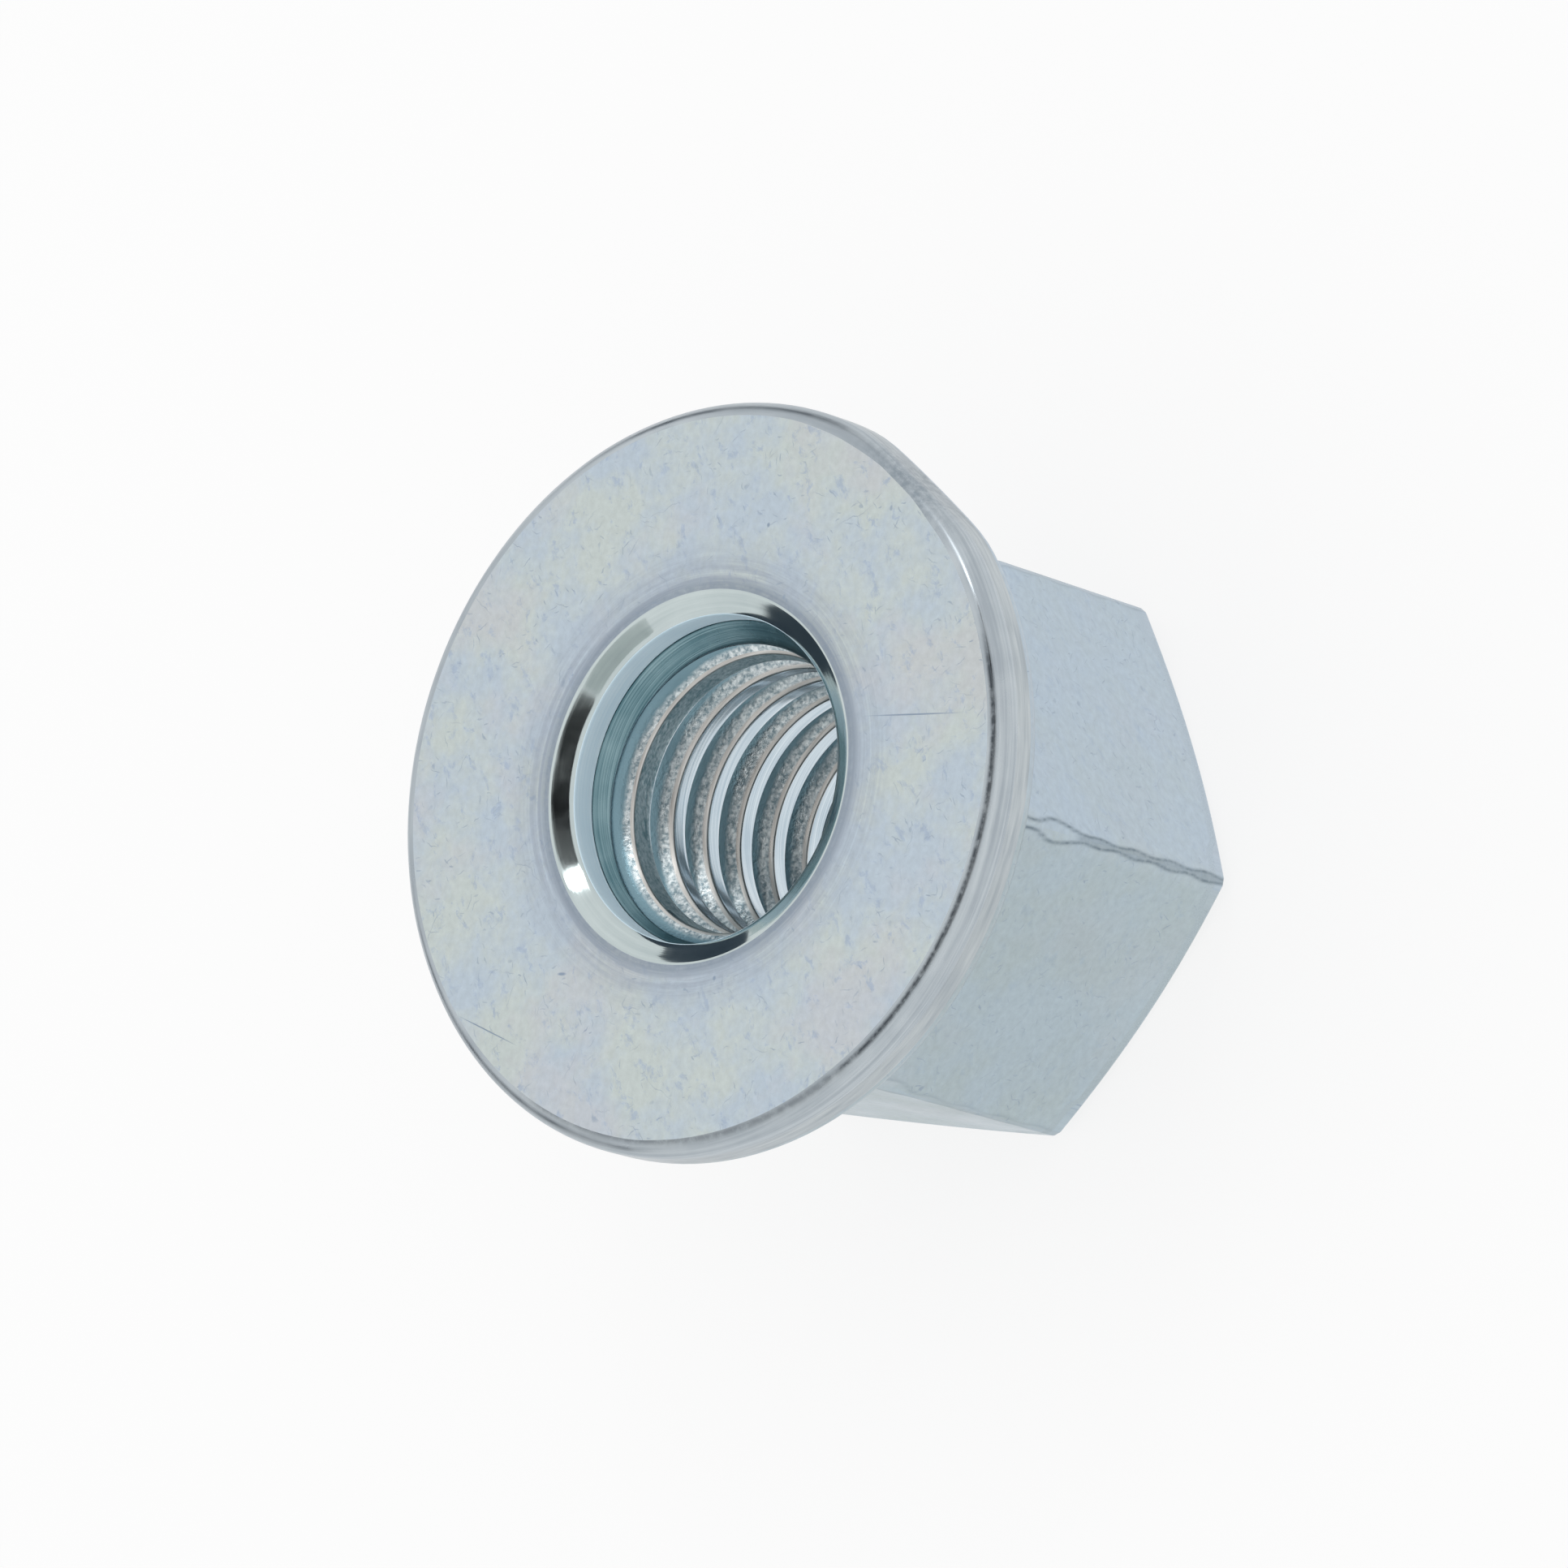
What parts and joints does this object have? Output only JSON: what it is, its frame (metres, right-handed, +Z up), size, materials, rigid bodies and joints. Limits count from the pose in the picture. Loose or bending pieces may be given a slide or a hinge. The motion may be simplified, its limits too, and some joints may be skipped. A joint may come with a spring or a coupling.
{
  "type": "flange nut",
  "caption": "Tall hexagon nut with a round washer-like flange, a countersunk threaded bore and a chamfered hexagon end.",
  "frame": {"origin": "centre of the flat hexagon end, on the axis of the bore", "axes": "+Z up the bore to the bearing face of the flange, +X normal to one hexagon flat, +Y through a hexagon corner"},
  "size_m": [0.014, 0.014, 0.009],
  "materials": {
    "zinc_plated_steel": "cold-forged steel with a bright blue-white zinc plate, tumbled and lightly scratched"
  },
  "bodies": {
    "root": {"flange_nut": "zinc_plated_steel"}
  },
  "joints": []
}
